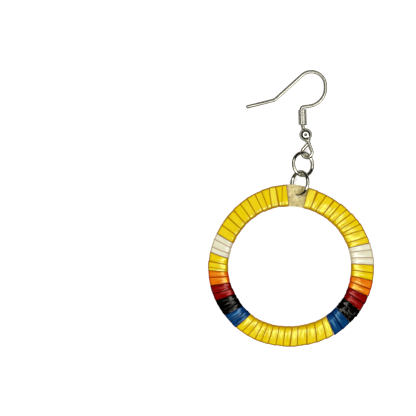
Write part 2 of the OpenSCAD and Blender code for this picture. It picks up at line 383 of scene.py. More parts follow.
def face_fall(angle, share):
    """How far the hoop's face lies below its ridge."""
    ridge, inner, outer = (round_hoop(FACE_SHAPE, angle, k) for k in (RIDGE, INNER_FALL, OUTER_FALL))
    if share > ridge:
        return inner * ((share - ridge) / (1 - ridge)) ** FACE_BEND
    return outer * (1 - share / ridge) ** 2


def highlight_patch(angle, share, turn, f):
    """How strong the painted highlight, which is also the gloss mask, is on a turn's face: sharp at its
    inner end, fading outward and to the sides.
    """
    end, reach = (round_hoop(FACE_SHAPE, angle, k) for k in (HIGHLIGHT_END, HIGHLIGHT_REACH))
    inward = end + turn.highlight_along * reach + turn.highlight_slant * reach * (f - 0.5) - share
    along = min(1, max(0, inward / HIGHLIGHT_EDGE)) * min(1, max(0, 1 - (inward - HIGHLIGHT_EDGE) / reach))
    across = min(1, abs(f - turn.highlight_across) / HIGHLIGHT_WIDTH)
    return turn.highlight_share * along * (1 - across ** 3)


def shade_at(angle, share):
    """How much painted shade darkens the colour between the painted highlight and the inner edge."""
    end = round_hoop(FACE_SHAPE, angle, HIGHLIGHT_END)
    return INNER_SHADE * min(1, max(0, (share - end) / HIGHLIGHT_EDGE))


def hoop_lay():
    """Lays the hoop down with its far edge on the table and its tab raised."""
    edge = radius_at(270, OUTER)
    down = Matrix.Translation((-REST_MIDDLE[0], -edge - REST_MIDDLE[1], 0))
    return down @ Matrix.Rotation(HOOP_SLOPE, 4, "X") @ Matrix.Translation((0, edge, 0))


def bead_place():
    """Middle of the bead in the hook's plane."""
    return in_plane(HOOK_PATH[-1]) + BEAD_ALONG * on_heading(SHANK_HEADING)


def hook_lay():
    """Lays the hook down on the bead and on the top of its arch."""
    reach = bead_place().y
    drop = (LAID_BEAD - LAID_WIRE) / 2
    slope = atan2(drop, ((ARCH_TOP - reach) ** 2 - drop ** 2) ** 0.5)
    up = Matrix.Translation((-REST_MIDDLE[0], reach - REST_MIDDLE[1], LAID_BEAD / 2))
    return up @ Matrix.Rotation(-slope, 4, "X") @ Matrix.Translation((0, -reach, 0))


def deselect():
    """Leaves edit mode with nothing selected."""
    if bpy.context.object and bpy.context.object.mode != "OBJECT":
        bpy.ops.object.mode_set(mode="OBJECT")
    bpy.ops.object.select_all(action="DESELECT")


def new_piece(name):
    """Names the primitive that was just added."""
    piece = bpy.context.object
    piece.name = name
    piece.data.name = name
    return piece


def copy_piece(piece, name):
    """Copies a piece under its own name, with its own mesh."""
    copy = piece.copy()
    copy.data = piece.data.copy()
    copy.name = copy.data.name = name
    bpy.context.scene.collection.objects.link(copy)
    return copy


def place_in_mesh(piece, lay):
    """Puts a piece's millimetres where it lies, in metres, with its object left at the origin."""
    piece.data.transform(Matrix.Scale(MM, 4) @ lay @ piece.matrix_world)
    piece.matrix_world = Matrix.Identity(4)


def pick(piece):
    """Selects one piece alone."""
    deselect()
    piece.select_set(True)
    bpy.context.view_layer.objects.active = piece


def edit(piece):
    """Opens one piece for editing, with all of it selected."""
    pick(piece)
    bpy.ops.object.mode_set(mode="EDIT")
    bpy.ops.mesh.select_all(action="SELECT")


def close_edit():
    """Turns every face outward and leaves edit mode."""
    bpy.ops.mesh.select_all(action="SELECT")
    bpy.ops.mesh.normals_make_consistent(inside=False)
    bpy.ops.object.mode_set(mode="OBJECT")


def apply_modifiers(piece):
    """Applies what was added to a piece, in order."""
    pick(piece)
    for modifier in list(piece.modifiers):
        bpy.ops.object.modifier_apply(modifier=modifier.name)


def thicken(piece, thickness, offset):
    """Gives a sheet its thickness, inward at an offset of -1 and to both sides at 0."""
    wall = piece.modifiers.new("wall", "SOLIDIFY")
    wall.thickness = thickness
    wall.offset = offset
    apply_modifiers(piece)


def round_edges(piece, width, angle):
    """Rounds the edges where a piece turns by more than an angle."""
    edges = piece.modifiers.new("edges", "BEVEL")
    edges.width = width
    edges.segments = 2
    edges.limit_method = "ANGLE"
    edges.angle_limit = radians(angle)
    apply_modifiers(piece)


def smooth(piece, angle):
    """Shades a piece smooth apart from its sharp edges."""
    pick(piece)
    bpy.ops.object.shade_smooth_by_angle(angle=radians(angle))


def light_set(name):
    """The set of pieces that some of the lights reach alone."""
    return bpy.data.collections.get(name) or bpy.data.collections.new(name)


def finish_piece(piece, material, node, lit):
    """Gives a piece its material and lights and tells the frame what it stands for."""
    piece.data.materials.clear()
    piece.data.materials.append(material)
    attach(piece, BODY)
    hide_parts(node)
    for name in lit:
        light_set(name).objects.link(piece)
    deselect()


def group_sockets(group, inputs, outputs):
    """Adds named sockets to a node group."""
    for name, kind, default in inputs:
        socket = group.interface.new_socket(name, in_out="INPUT", socket_type="NodeSocket" + kind)
        socket.default_value = default
    for name, kind in outputs:
        group.interface.new_socket(name, in_out="OUTPUT", socket_type="NodeSocket" + kind)


class Nodes:
    """Short calls that add and join shader nodes."""

    def __init__(self, tree):
        self.tree = tree

    def add(self, kind, **settings):
        """A new node, with its settings."""
        node = self.tree.nodes.new("ShaderNode" + kind)
        for name, value in settings.items():
            setattr(node, name, value)
        return node

    def ends(self):
        """The group's own inputs and outputs."""
        return self.tree.nodes.new("NodeGroupInput").outputs, self.tree.nodes.new("NodeGroupOutput").inputs

    def join(self, source, target):
        self.tree.links.new(source, target)

    def feed(self, target, value):
        """Joins a socket to another, or sets it to a plain value."""
        if isinstance(value, bpy.types.NodeSocket):
            self.join(value, target)
        else:
            target.default_value = value

    def maths(self, operation, a, b=0.0, clamp=False):
        node = self.add("Math", operation=operation, use_clamp=clamp)
        self.feed(node.inputs[0], a)
        self.feed(node.inputs[1], b)
        return node.outputs[0]

    def mix(self, share, a, b):
        """A mix of two colours, which are the node's inputs 6 and 7, with the result on output 2."""
        node = self.add("Mix", data_type="RGBA")
        self.feed(node.inputs["Factor"], share)
        self.feed(node.inputs[6], a)
        self.feed(node.inputs[7], b)
        return node.outputs[2]

    def span(self, value, low, high, to_low=0.0, to_high=1.0):
        """A value brought smoothly from one span to another."""
        node = self.add("MapRange", interpolation_type="SMOOTHSTEP")
        self.feed(node.inputs["Value"], value)
        for name, number in (("From Min", low), ("From Max", high), ("To Min", to_low), ("To Max", to_high)):
            node.inputs[name].default_value = number
        return node.outputs["Result"]

    def grain(self, place, stretch, scale, detail, roughness=0.55):
        """Noise that is stretched along an axis."""
        mapping = self.add("Mapping")
        self.join(place, mapping.inputs["Vector"])
        mapping.inputs["Scale"].default_value = stretch
        node = self.add("TexNoise")
        self.join(mapping.outputs["Vector"], node.inputs["Vector"])
        node.inputs["Scale"].default_value = scale
        node.inputs["Detail"].default_value = detail
        node.inputs["Roughness"].default_value = roughness
        return node.outputs["Fac"]

    def relief(self, shader, height, strength, distance):
        """Bumps a shader by a height."""
        bump = self.add("Bump")
        bump.inputs["Strength"].default_value = strength
        bump.inputs["Distance"].default_value = distance
        self.join(height, bump.inputs["Height"])
        self.join(bump.outputs["Normal"], shader.inputs["Normal"])


def quill_group():
    """Colour, roughness, gloss and height of a wound quill: fine lines along it, brown seams, painted shade
    at the rims and painted highlights.
    """
    group = bpy.data.node_groups.new("wound_quill", "ShaderNodeTree")
    group_sockets(
        group,
        (("Dye", "Color", (0.8, 0.6, 0, 1)), ("Pale", "Color", (0.8, 0.7, 0.2, 1)),
         ("Deep Lines and Shade", "Color", (0.4, 0.2, 0, 1)), ("Seam", "Color", (0.1, 0.04, 0, 1)),
         ("Streaks", "Float", 0.3), ("Contrast", "Float", 0.5)),
        (("Color", "Color"), ("Roughness", "Float"), ("Gloss", "Float"), ("Height", "Float")))
    n = Nodes(group)
    given, out = n.ends()
    marks_and_painted_light = n.add("Attribute", attribute_name="marks_and_painted_light").outputs
    parts = n.add("SeparateColor")
    n.join(marks_and_painted_light["Color"], parts.inputs["Color"])
    groove, tone, rim_shade = parts.outputs[0], parts.outputs[1], parts.outputs[2]
    # Fine lines along the quill, broader patches, and flecks in the seams
    along = n.add("UVMap", uv_map="UVMap").outputs["UV"]
    lines = n.grain(along, (4.2, 0.9, 1), 1.0, 1.5, 0.5)
    patches = n.grain(along, (1.3, 1.6, 1), 1.0, 1.0)
    flecks = n.grain(along, (5, 16, 1), 1.0, 3.0, 0.7)
    # Paler streaks and patches, and the painted highlight between the gaps that the lines leave
    lift = n.maths("MULTIPLY", n.span(lines, 0.45, 0.7), given["Streaks"])
    lift = n.maths("ADD", lift, n.maths("MULTIPLY", n.span(patches, 0.5, 0.7), given["Streaks"]))
    gaps = n.maths("MULTIPLY", n.span(lines, 0.57, 0.43), given["Contrast"])
    highlight_and_gloss = n.maths("MULTIPLY", marks_and_painted_light["Alpha"], n.maths("SUBTRACT", 1.0, gaps))
    # Painted highlight: the pale colour is mixed in where the highlight mask lies
    painted_highlight = n.span(highlight_and_gloss, 0.1, 0.6)
    pale = n.maths("ADD", n.maths("ADD", lift, tone), painted_highlight, clamp=True)
    colour = n.mix(pale, given["Dye"], given["Pale"])
    # Deeper lines, painted shade at the edges and the seams' own colour
    deep = n.maths("MULTIPLY", n.span(lines, 0.5, 0.3), n.span(marks_and_painted_light["Alpha"], 0.0, 0.5, 0.1, 0.3))
    colour = n.mix(deep, colour, given["Deep Lines and Shade"])
    # Painted shade darkens the colour along both edges and inside the inner edge
    colour = n.mix(n.span(rim_shade, 0.1, 0.75, 0.0, 0.9), colour, given["Deep Lines and Shade"])
    seam = n.maths("MULTIPLY", n.span(groove, 0.1, 0.6), n.span(flecks, 0.2, 0.6, 0.85, 1.0))
    n.join(n.mix(seam, colour, given["Seam"]), out["Color"])
    # Gloss where the highlight is painted, away from the edges, and the height of the lines and patches
    n.join(n.span(lines, 0.3, 0.7, 0.4, 0.3), out["Roughness"])
    n.join(n.maths("MULTIPLY", n.span(highlight_and_gloss, 0.08, 0.4), n.span(rim_shade, 0.5, 0.1)), out["Gloss"])
    relief = n.maths("ADD", lines, n.maths("MULTIPLY", patches, 0.5))
    n.join(n.maths("MULTIPLY", relief, n.span(marks_and_painted_light["Alpha"], 0.0, 0.5, 0.3, 1.0)), out["Height"])
    return group


def metal_group():
    """Colour and roughness of plated wire: faint scratches, dull spots and a darker film."""
    group = bpy.data.node_groups.new("worn_plating", "ShaderNodeTree")
    group_sockets(
        group,
        (("Metal", "Color", (0.6, 0.6, 0.5, 1)), ("Film", "Color", (0.2, 0.17, 0.1, 1)),
         ("Wear", "Float", 0.1), ("Dullness", "Float", 0.1)),
        (("Color", "Color"), ("Roughness", "Float"), ("Height", "Float")))
    n = Nodes(group)
    given, out = n.ends()
    place = n.add("TexCoord").outputs["Object"]
    spots = n.grain(place, (1, 1, 1), 900, 3.0, 0.6)
    scratch = n.grain(place, (1, 0.3, 1), 5200, 2.0, 0.6)
    film = n.maths("MULTIPLY", n.span(spots, 0.5, 0.75), given["Wear"])
    n.join(n.mix(film, given["Metal"], given["Film"]), out["Color"])
    rough = n.maths("MULTIPLY", given["Dullness"], n.span(scratch, 0.35, 0.7, 0.8, 1.2))
    n.join(n.maths("ADD", rough, n.maths("MULTIPLY", film, 0.2)), out["Roughness"])
    n.join(scratch, out["Height"])
    return group


def new_material(name):
    """A new material, short calls for its nodes, and its shader."""
    material = bpy.data.materials.new(name)
    material.use_nodes = True
    return material, Nodes(material.node_tree), material.node_tree.nodes["Principled BSDF"]


def shaded(name, group, values, bump, bump_depth, **shader_values):
    """A material whose colour, roughness, gloss and bump come from one node group."""
    material, n, shader = new_material(name)
    effect = n.add("Group", node_tree=group)
    for socket, value in values.items():
        effect.inputs[socket].default_value = value
    for socket, target in (("Color", "Base Color"), ("Roughness", "Roughness"), ("Gloss", "Coat Weight")):
        if socket in effect.outputs:
            n.join(effect.outputs[socket], shader.inputs[target])
    n.relief(shader, effect.outputs["Height"], bump, bump_depth)
    for socket, value in shader_values.items():
        shader.inputs[socket.replace("_", " ")].default_value = value
    return material


def with_alpha(colour):
    """A colour as a node's socket takes it."""
    return (*colour, 1)


def metal_material(name, colour, dullness):
    """Plated metal of one colour and polish, made once and shared by its pieces."""
    made = bpy.data.materials.get(name)
    if made:
        return made
    group = bpy.data.node_groups.get("worn_plating") or metal_group()
    return shaded(
        name, group,
        {"Metal": with_alpha(colour), "Film": (0.14, 0.12, 0.08, 1), "Wear": 0.1, "Dullness": dullness},
        bump=0.02, bump_depth=0.02 * MM, Metallic=1.0)


def quill_material(quills, dye):
    """One dye of quill, with its own pale and painted highlight colour, deep line and painted shade colour,
    and seam colour.
    """
    made = bpy.data.materials.get("dyed_quill_" + dye)
    if made:
        return made
    group = bpy.data.node_groups.get("wound_quill") or quill_group()
    # Each dye's pale colour, which also paints the highlights, its colour for deep lines and painted shade,
    # its seam colour, share of streaks, contrast of the lines, and coat's index
    looks = {
        "yellow": (quills.pale_and_highlight_yellow, (0.42, 0.19, 0.0), (0.42, 0.17, 0.0), 0.03, 0.6, 1.5),
        "white": ((0.95, 0.94, 0.8), (0.56, 0.47, 0.3), (0.46, 0.32, 0.16), 0.25, 0.8, 1.7),
        "orange": ((1.0, 0.62, 0.06), (0.5, 0.03, 0.0), (0.34, 0.02, 0.0), 0.12, 0.6, 1.55),
        "red": ((0.46, 0.035, 0.025), (0.1, 0.0, 0.001), (0.03, 0.0, 0.0), 0.12, 0.8, 1.35),
        "black": ((0.035, 0.03, 0.018), (0.0, 0.0, 0.0), (0.0, 0.0, 0.0), 0.02, 0.95, 1.7),
        "blue": ((0.05, 0.2, 0.4), (0.0, 0.01, 0.09), (0.0, 0.003, 0.04), 0.1, 0.8, 1.4),
    }
    pale, rim_shade, seam, streaks, contrast, gloss = looks[dye]
    return shaded(
        "dyed_quill_" + dye, group,
        {"Dye": with_alpha(getattr(quills, dye)), "Pale": with_alpha(pale), "Deep Lines and Shade": with_alpha(rim_shade),
         "Seam": with_alpha(seam), "Streaks": streaks, "Contrast": contrast},
        bump=0.3, bump_depth=0.06 * MM, Specular_IOR_Level=0.0, Coat_IOR=gloss, Coat_Roughness=0.12)


def rawhide_material():
    """Bare rawhide: beige, speckled, with dye stains beside the quills."""
    material, n, shader = new_material("bare_rawhide")
    place = n.add("TexCoord").outputs["Object"]
    cloud = n.grain(place, (1, 1, 1), 420, 4.0, 0.6)
    speck = n.grain(place, (1, 1, 1), 2600, 3.0, 0.7)
    colour = n.mix(n.span(cloud, 0.35, 0.65), (0.7, 0.57, 0.22, 1), (0.95, 0.84, 0.42, 1))
    colour = n.mix(n.span(speck, 0.54, 0.64), colour, (0.3, 0.19, 0.06, 1))
    where = n.add("SeparateXYZ")
    n.join(place, where.inputs["Vector"])
    stain = n.span(where.outputs["X"], -0.25 * MM, -1.2 * MM)
    stain = n.maths("MULTIPLY", stain, n.span(cloud, 0.3, 0.6))
    colour = n.mix(n.maths("MULTIPLY", stain, 0.7), colour, (0.62, 0.3, 0.13, 1))
    n.join(colour, shader.inputs["Base Color"])
    shader.inputs["Roughness"].default_value = 0.75
    n.relief(shader, speck, strength=0.5, distance=0.05 * MM)
    return material


def band_section(width, height):
    """Points round the band's section from the middle of its underside, up its outer edge and back."""
    half, rise = width / 2, height / 2
    far, near = SECTION_CORNERS
    points = []

    def run(start, end, steps):
        points.extend(start.lerp(end, i / steps) for i in range(steps))

    def turn(corner, side, first):
        for i in range(CORNER_STEPS):
            angle = radians(first + 90 * i / CORNER_STEPS)
            points.append(Vector((side[0] * (half - corner) + corner * cos(angle),
                                  side[1] * (rise - corner) + corner * sin(angle))))

    run(Vector((0, -rise)), Vector((half - far, -rise)), FLAT_STEPS)
    turn(far, (1, -1), -90)
    run(Vector((half, far - rise)), Vector((half, rise - far)), SIDE_STEPS)
    turn(far, (1, 1), 0)
    run(Vector((half - far, rise)), Vector((near - half, rise)), 2 * FLAT_STEPS)
    turn(near, (-1, 1), 90)
    run(Vector((-half, rise - near)), Vector((-half, near - rise)), SIDE_STEPS)
    turn(near, (-1, -1), 180)
    run(Vector((near - half, -rise)), Vector((0, -rise)), FLAT_STEPS)
    return points


SECTION_POINTS = 4 * FLAT_STEPS + 4 * CORNER_STEPS + 2 * SIDE_STEPS


class Seam:
    """Where two turns meet: its angle at each edge of the hoop, and how far it stands open."""

    def __init__(self, angle, slant, gaps):
        self.angle = angle
        self.slant = slant
        self.gaps = gaps

    def at(self, share):
        """Angle of the seam, a share in from the outer edge."""
        return self.angle + self.slant * share

    def half_gap(self, share, reach):
        """Half of what it stands open there, in degrees."""
        gap = self.gaps[0] + (self.gaps[1] - self.gaps[0]) * share
        return degrees(gap / 2 / reach)


class Turn:
    """Small differences from one turn of quill to the next."""

    def __init__(self, draw, pale, crease):
        self.tilt = draw.uniform(-0.05, 0.05)
        self.outer = draw.uniform(-0.06, 0.05)
        self.inner = draw.uniform(-0.05, 0.04)
        self.lift = draw.uniform(-0.025, 0.03)
        self.tone = pale + draw.uniform(0, 0.06)
        # Place, slant, width and strength of this turn's painted highlight
        self.highlight_along = draw.uniform(-0.12, 0.04)
        self.highlight_slant = draw.uniform(-0.4, 0.4)
        self.highlight_across = draw.uniform(0.3, 0.7)
        self.highlight_share = draw.uniform(0.6, 1)
        self.crease = crease
        self.place = draw.uniform(0, 50)


def band_parts(row, seed):
    """The seams and turns of one band."""
    name, _, start, widths, first_slant, last_slant = row
    draw = random.Random(f"{name} {seed}")
    edge = degrees(BAND_GAP / 2 / radius_at(start, OUTER))
    seams = []
    angle = start
    for k in range(len(widths) + 1):
        at_end = k in (0, len(widths))
        slant = first_slant + (last_slant - first_slant) * k / len(widths)
        stray = 0 if at_end else draw.uniform(-SLANT_STRAY, SLANT_STRAY)
        slant = ODD_SLANTS.get((name, k), slant + stray)
        gaps = [draw.uniform(*limits) for limits in SEAM_GAPS]
        seams.append(Seam(angle, slant, OPEN_SEAMS.get((name, k), gaps)))
        if k < len(widths):
            angle += widths[k]
    seams[0].angle += edge
    seams[-1].angle -= edge
    turns = [Turn(draw, PALE_TURNS.get((name, k), 0), CREASED_TURNS.get((name, k), 0))
             for k in range(len(widths))]
    return seams, turns


def turn_relief(turn, sizes, f, across, reach, height):
    """How far a place on a turn stands out, how creased it is, and how strong the painted highlight with its
    gloss beside the crease is there.
    """
    crown, dent, crease = sizes
    depth = turn.lift + turn.tilt * (f - 0.5) + crown * (1 - (2 * f - 1) ** 2)
    wave, fine = (
        noise.noise(Vector((turn.place + run[0] * f, reach * run[1], height * run[2])))
        for run in (DENT_RUN, FINE_RUN))
    depth += dent * (wave + 0.5 * fine)
    fold = noise.noise(Vector((turn.place + 3 * f + 2.2 * across, 5 * across - 2 * f, 0.5 * height)))
    folded = turn.crease * max(0, FOLD_WIDTH - abs(fold)) / FOLD_WIDTH
    # Painted highlight beside the crease
    ridge = 0
    if RIDGE_ACROSS[0] < across < RIDGE_ACROSS[1]:
        ridge = turn.crease * max(0, RIDGE_WIDTH - abs(fold - RIDGE_PLACE)) * RIDGE_HIGHLIGHT
    return depth - crease * folded, folded, ridge


def turn_point(turn, left, right, column, row, groove, sizes):
    """Where a point of a turn lies, and its marks: seam, tone, painted shade at the edges, and painted
    highlight, which is also the gloss.
    """
    in_groove = column in (0, TURN_COLUMNS)
    middle = (left.angle + right.angle) / 2
    outer = radius_at(middle, OUTER) + turn.outer
    inner = radius_at(middle, INNER) + turn.inner
    width = outer - inner
    p = band_section(width, HOOP_HEIGHT)[row]
    across = 0.5 - p.x / width
    reach = (outer + inner) / 2 + p.x
    if in_groove:
        f = 0.5
        angle = (left if column == 0 else right).at(across)
        depth, folded, ridge = -groove, 0, 0
    else:
        f = ACROSS_TURN[column - 1]
        first = left.at(across) + left.half_gap(across, reach)
        last = right.at(across) - right.half_gap(across, reach)
        angle = first + (last - first) * f
        depth, folded, ridge = turn_relief(turn, sizes, f, across, reach, p.y)
    normal = Vector((p.x / width * 2, p.y / HOOP_HEIGHT * 2))
    steep = Vector((normal.x ** EDGE_POWER, normal.y ** FACE_POWER))
    p = p + steep.normalized() * depth
    half = radians((right.at(across) - left.at(across)) / 2)
    centre = (right.at(across) + left.at(across)) / 2
    chord = cos(half) / cos(radians(angle - centre))
    reach = ((outer + inner) / 2 + p.x) * chord
    fall = face_fall(angle, across) * (1 if p.y > 0 else UNDERSIDE)
    rise = p.y * (1 - fall * 2 / HOOP_HEIGHT)
    heading = radians(angle)
    place = (reach * cos(heading), reach * sin(heading), HOOP_HEIGHT / 2 + rise)
    # Painted shade along the outer and the inner edge
    rim_shade = max(1 - across * width / OUTER_RIM_SHADE, 1 - (1 - across) * width / INNER_RIM_SHADE)
    # Painted shade inside the inner edge joins the rim's
    rim_shade = min(1, max(0, rim_shade, shade_at(angle, across)))
    stain = 1 if in_groove else STAINED.get(f, 0)
    # Painted highlight, which also masks the coat's gloss, kept off the seams and the underside
    highlight_and_gloss = 0 if in_groove or rise < 0 else min(1, highlight_patch(angle, across, turn, f) * (1 - folded) + ridge)
    return place, (stain, turn.tone, rim_shade, highlight_and_gloss)


def wind_band(piece, row, quills):
    """Winds a flat strip round the hoop as one band, a groove at each seam."""
    seams, turns = band_parts(row, quills.seed)
    groove = quills.groove / MM
    sizes = [size / MM for size in (quills.crown, quills.dent, quills.crease)]
    columns = len(turns) * TURN_COLUMNS
    mesh = piece.data
    marks_and_painted_light = mesh.color_attributes.new("marks_and_painted_light", "FLOAT_COLOR", "POINT")
    cells = [
        (round((v.co.x + 0.5) * columns), round((v.co.y + 0.5) * SECTION_POINTS))
        for v in mesh.vertices]
    for loop, uv in zip(mesh.loops, mesh.uv_layers.active.data):
        i, j = cells[loop.vertex_index]
        uv.uv = (i / TURN_COLUMNS, j / SECTION_POINTS * PATTERN_ROUND)
    for vertex, mark, (i, j) in zip(mesh.vertices, marks_and_painted_light.data, cells):
        k = min(i // TURN_COLUMNS, len(turns) - 1)
        vertex.co, mark.color = turn_point(
            turns[k], seams[k], seams[k + 1], i - k * TURN_COLUMNS, j % SECTION_POINTS, groove, sizes)


class EARRING_OT_quill_bands(bpy.types.Operator):
    """Winds every band of dyed quill round the hoop"""

    bl_idname = "earring.quill_bands"
    bl_label = "Quill Bands"

    def execute(self, context):
        quills = context.scene.earring_quills
        for row in BANDS:
            name, dye, _, widths = row[:4]
            deselect()
            bpy.ops.mesh.primitive_grid_add(
                x_subdivisions=len(widths) * TURN_COLUMNS, y_subdivisions=SECTION_POINTS, size=1)
            piece = new_piece(name.replace("quill", "wound_quill"))
            wind_band(piece, row, quills)
            edit(piece)
            bpy.ops.mesh.remove_doubles(threshold=1e-6)
            close_edit()
            thicken(piece, SHELL, -1)
            place_in_mesh(piece, hoop_lay())
            smooth(piece, 50)
            finish_piece(piece, quill_material(quills, dye), name, ("dull", "quills"))
        return {"FINISHED"}


class EARRING_OT_rawhide_ring(bpy.types.Operator):
    """Cuts the flat rawhide ring with its bare tab and hole"""

    bl_idname = "earring.rawhide_ring"
    bl_label = "Rawhide Ring"

    # Steps round the ring, places across it, how ragged the tab's edges are, how much they draw in
    # under the quills, and how wavy the ring is
    steps = 240
    ring_shares = (0, 0.12, 0.3, 0.5, 0.7, 0.88, 1)
    ragged = 0.06
    tucked = 0.12
    wavy = 0.05

    def execute(self, context):
        deselect()
        bpy.ops.mesh.primitive_grid_add(
            x_subdivisions=self.steps, y_subdivisions=len(self.ring_shares) - 1, size=1)
        piece = new_piece("bare_rawhide_ring")
        across = len(self.ring_shares) - 1
        for vertex in piece.data.vertices:
            i = round((vertex.co.x + 0.5) * self.steps)
            j = round((vertex.co.y + 0.5) * across)
            self.lay_point(vertex, 360 * i / self.steps, self.ring_shares[j])
        edit(piece)
        bpy.ops.mesh.remove_doubles(threshold=1e-6)
        thicken(piece, CORE_THICKNESS, 0)
        self.punch(piece)
        round_edges(piece, 0.12, 50)
        place_in_mesh(piece, hoop_lay())
        smooth(piece, 50)
        finish_piece(piece, rawhide_material(), "hoop_core", ("dull",))
        return {"FINISHED"}

    def lay_point(self, vertex, turned, share):
        """Puts a point of the strip on the ring, wider where the tab is bare."""
        angle = TAB_LEFT - turned
        bare = TAB_RIGHT - TAB_TUCK <= angle % 360 <= TAB_LEFT + TAB_TUCK
        inset = 0 if bare else CORE_INSET
        outer = radius_at(angle, OUTER) - inset
        inner = radius_at(angle, INNER) + inset
        if bare:
            stray = self.ragged * noise.noise(Vector((angle * 0.9, 3, 0)))
            tuck = 0 if TAB_RIGHT <= angle % 360 <= TAB_LEFT else self.tucked
            outer += stray - tuck
            inner += tuck - stray
        reach = outer + (inner - outer) * share
        wave = self.wavy * noise.noise(Vector((angle * 0.4, reach * 0.5, 1)))
        turn = radians(angle)
        vertex.co = Vector((reach * cos(turn), reach * sin(turn), HOOP_HEIGHT / 2 + wave))

    def punch(self, piece):
        """Punches the tab's hole."""
        deselect()
        bpy.ops.mesh.primitive_cylinder_add(
            vertices=40, radius=0.5, depth=3, location=(*HOLE_PLACE, HOOP_HEIGHT / 2))
        punch = bpy.context.object
        punch.scale = (*HOLE_SIZE, 1)
        hole = piece.modifiers.new("hole", "BOOLEAN")
        hole.operation = "DIFFERENCE"
        hole.object = punch
        apply_modifiers(piece)
        bpy.data.objects.remove(punch)


class Wire:
    """A round wire, pushed along straights and spun round bends in edit mode."""

    def __init__(self, name, place, heading, radius, sides=20):
        deselect()
        bpy.ops.mesh.primitive_circle_add(vertices=sides, radius=radius, fill_type="NGON")
        self.piece = new_piece(name)
        self.piece.data.transform(Matrix.Translation(place) @ upright_to(heading))
        edit(self.piece)

    def straight(self, step):
        """Pushes the wire's end along."""
        bpy.ops.mesh.extrude_region_move(TRANSFORM_OT_translate={"value": step})

    def bend(self, centre, axis, angle, steps):
        """Spins the wire's end, where Blender's own spin takes the opposite sign."""
        bpy.ops.mesh.spin(steps=steps, angle=-angle, center=centre, axis=axis)

    def taper(self, step, share):
        """Pushes the end along and makes it thicker or thinner."""
        self.straight(step)
        bpy.ops.transform.resize(value=(share, share, share))

    def done(self):
        """Merges where the stretches meet and hands over the piece."""
        bpy.ops.mesh.select_all(action="SELECT")
        bpy.ops.mesh.remove_doubles(threshold=1e-5)
        close_edit()
        return self.piece


class EARRING_OT_ear_hook(bpy.types.Operator):
    """Bends the ear hook's wire from the tail to the end loop"""

    bl_idname = "earring.ear_hook"
    bl_label = "Ear Hook"

    bend_step = radians(4)

    def execute(self, context):
        metal = context.scene.earring_metal
        shank_end = in_plane(HOOK_PATH[-1]) + SHANK_LENGTH * on_heading(SHANK_HEADING)
        corners = [in_plane(row) for row in HOOK_PATH] + [shank_end]
        radii = [row[2] for row in HOOK_PATH]
        headings = [atan2(b.y - a.y, b.x - a.x) for a, b in zip(corners, corners[1:])]
        here = corners[0]
        radius = metal.hook_wire / 2 / MM
        wire = Wire("bent_ear_hook", here, on_heading(headings[0]), radius * TIP_SHARE)
        wire.taper(TIP_LENGTH * on_heading(headings[0]), 1 / TIP_SHARE)
        here = here + TIP_LENGTH * on_heading(headings[0])
        for k in range(1, len(headings)):
            turn = (headings[k] - headings[k - 1] + pi) % (2 * pi) - pi
            cut = radii[k] * tan(abs(turn) / 2)
            start = corners[k] - cut * on_heading(headings[k - 1])
            wire.straight(start - here)
            side = 1 if turn > 0 else -1
            centre = start + side * radii[k] * on_heading(headings[k - 1] + pi / 2)
            wire.bend(centre, (0, 0, 1), turn, ceil(abs(turn) / self.bend_step))
            here = corners[k] + cut * on_heading(headings[k])
        wire.straight(shank_end - here)
        self.bend_loop(wire, shank_end)
        piece = wire.done()
        place_in_mesh(piece, hook_lay())
        smooth(piece, 60)
        plated = metal_material("hook_metal", metal.colour, dullness=0.15)
        finish_piece(piece, plated, "ear_hook", ("wires", "sides"))
        return {"FINISHED"}

    def bend_loop(self, wire, shank_end):
        """Bends the end loop, rolled about the shank, and its last straight."""
        along = on_heading(SHANK_HEADING)
        left = on_heading(SHANK_HEADING - pi / 2)
        toward = left * cos(LOOP_ROLL) - Vector((0, 0, 1)) * sin(LOOP_ROLL)
        axis = along.cross(toward)
        wire.bend(shank_end + toward * LOOP_RADIUS, axis, LOOP_SWEEP, ceil(LOOP_SWEEP / self.bend_step))
        leg = Matrix.Rotation(LOOP_SWEEP, 3, axis) @ along
        wire.straight(LOOP_LEG * leg)


class EARRING_OT_coil(bpy.types.Operator):
    """Winds the fine wire coil round the hook's shank"""

    bl_idname = "earring.coil"
    bl_label = "Coil"

    # The wire's thickness away from the shank, as a share of its width
    flattened = 0.6

    def execute(self, context):
        metal = context.scene.earring_metal
        wire = metal.coil_wire / MM
        middle = (metal.coil_across / MM - wire) / 2
        deselect()
        bpy.ops.mesh.primitive_circle_add(
            vertices=10, radius=wire / 2, location=(middle, 0, wire / 2), rotation=(pi / 2, 0, 0))
        piece = new_piece("wound_coil")
        piece.scale.x = self.flattened
        bpy.ops.object.transform_apply(location=True, rotation=True, scale=True)
        winding = piece.modifiers.new("winding", "SCREW")
        winding.axis = "Z"
        winding.angle = 2 * pi
        winding.iterations = metal.coil_turns
        winding.screw_offset = (COIL_LENGTH - wire) / metal.coil_turns
        winding.steps = winding.render_steps = 26
        winding.use_merge_vertices = False
        apply_modifiers(piece)
        edit(piece)
        bpy.ops.mesh.select_all(action="DESELECT")
        bpy.ops.mesh.select_non_manifold()
        bpy.ops.mesh.edge_face_add()
        close_edit()
        turned = upright_to(on_heading(COIL_HEADING))
        place_in_mesh(piece, hook_lay() @ Matrix.Translation((*COIL_TOP, 0)) @ turned)
        smooth(piece, 60)
        plated = metal_material("coil_metal", metal.bright, dullness=0.07)
        finish_piece(piece, plated, "coil_sleeve", ("glints", "sides"))
        return {"FINISHED"}


